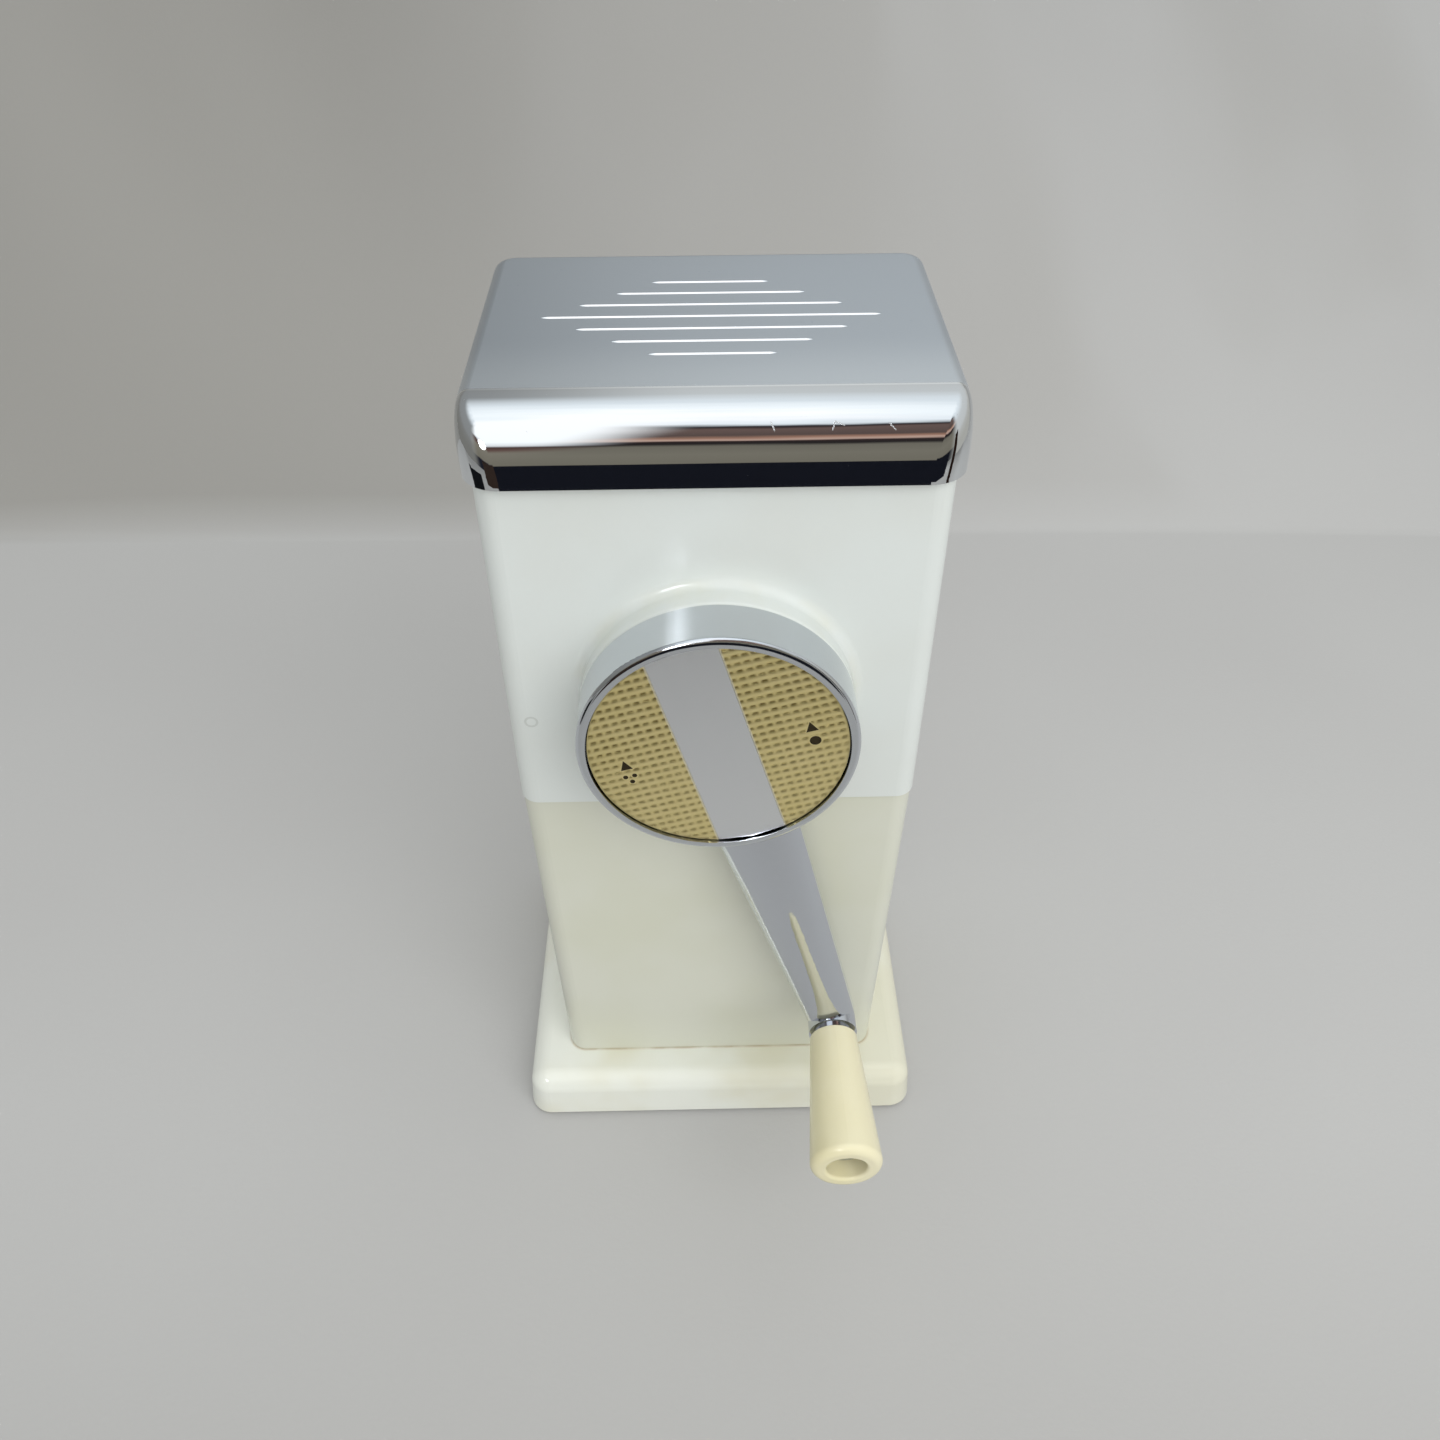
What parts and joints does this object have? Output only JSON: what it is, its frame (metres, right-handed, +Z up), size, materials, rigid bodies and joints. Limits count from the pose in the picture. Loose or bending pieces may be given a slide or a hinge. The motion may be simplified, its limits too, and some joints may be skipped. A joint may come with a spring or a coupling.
{
  "type": "hand crank ice crusher",
  "caption": "Upright hand crank ice crusher with a chrome hinged lid, a lift-off crusher housing over a tapered ice bin on a plinth, and a crank with a tapered knob.",
  "frame": {"origin": "centre of the plinth's footprint on the surface it stands on, which is the underside of the rubber sole", "axes": "+Z up, -Y out of the front face towards the crank, +X to the right seen from the front"},
  "size_m": [0.129, 0.1635, 0.254],
  "materials": {
    "plinth_plastic": "glossy moulded plastic, cool white",
    "sole_rubber": "dull moulded rubber",
    "bin_plastic": "glossy moulded plastic, warm cream white",
    "housing_plastic": "glossy moulded plastic, cool white",
    "hopper_plastic": "moulded plastic",
    "lid_chrome": "pressed steel, bright chrome with a satin top",
    "hub_chrome": "drawn steel, bright chrome",
    "arm_chrome": "pressed steel, chrome",
    "dial_gold": "pressed basket weave, gold lacquer",
    "band_satin": "satin, left bare",
    "frame_cast": "as cast",
    "comb_steel": "milled stainless steel",
    "blade_steel": "punched stainless steel",
    "shaft_steel": "turned steel",
    "spacer_metal": "turned",
    "bearing_bronze": "sintered bronze",
    "screw_zinc": "zinc plated",
    "hinge_metal": "chrome plated steel",
    "knob_plastic": "glossy moulded plastic, cream yellow"
  },
  "bodies": {
    "base": {"base_plinth": "plinth_plastic", "base_sole": "sole_rubber", "ice_bin": "bin_plastic", "bin_screws": "screw_zinc"},
    "crusher": {"upper_housing": "housing_plastic", "hopper": "hopper_plastic", "hopper_screws": "screw_zinc", "crusher_frame": "frame_cast", "frame_screws": "screw_zinc", "comb_fine": "comb_steel", "comb_coarse": "comb_steel", "comb_screws": "screw_zinc", "front_bearing": "bearing_bronze", "rear_bearing": "bearing_bronze", "hinge_bracket": "hinge_metal", "bracket_rivets": "hinge_metal", "hinge_pin": "hinge_metal"},
    "lid": {"lid_shell": "lid_chrome", "lid_hinge_leaf": "hinge_metal", "lid_rivets": "hinge_metal"},
    "crank": {"rotor_shaft": "shaft_steel", "rotor_blade_1": "blade_steel", "rotor_blade_2": "blade_steel", "rotor_blade_3": "blade_steel", "rotor_blade_4": "blade_steel", "rotor_blade_5": "blade_steel", "rotor_blade_6": "blade_steel", "rotor_spacer_1": "spacer_metal", "rotor_spacer_2": "spacer_metal", "rotor_spacer_3": "spacer_metal", "rotor_spacer_4": "spacer_metal", "rotor_spacer_5": "spacer_metal", "rotor_spacer_6": "spacer_metal", "rotor_spacer_7": "spacer_metal", "shaft_clip": "screw_zinc", "thrust_washer": "bearing_bronze", "crank_arm": "arm_chrome", "hub_washer": "screw_zinc", "hub_screw": "screw_zinc", "hub_cup": "hub_chrome", "hub_medallion": "dial_gold", "hub_band": "band_satin", "knob_washer": "arm_chrome", "knob_pin": "arm_chrome"},
    "knob": {"knob_grip": "knob_plastic"}
  },
  "joints": [
    {"name": "housing_lift", "type": "slide", "parent": "base", "child": "crusher", "axis": [0, 0, 1], "range_m": [0, 0.05]},
    {"name": "lid_hinge", "type": "hinge", "parent": "crusher", "child": "lid", "pos_m": [0, 0.04875, 0.236], "axis": [-1, 0, 0], "range_deg": [0, 100]},
    {"name": "crank_turn", "type": "hinge", "parent": "crusher", "child": "crank", "pos_m": [0, 0, 0.177], "axis": [0, 1, 0], "continuous": true},
    {"name": "knob_spin", "type": "hinge", "parent": "crank", "child": "knob", "pos_m": [0.03418, -0.086, 0.0578], "axis": [0, 1, 0], "continuous": true}
  ]
}
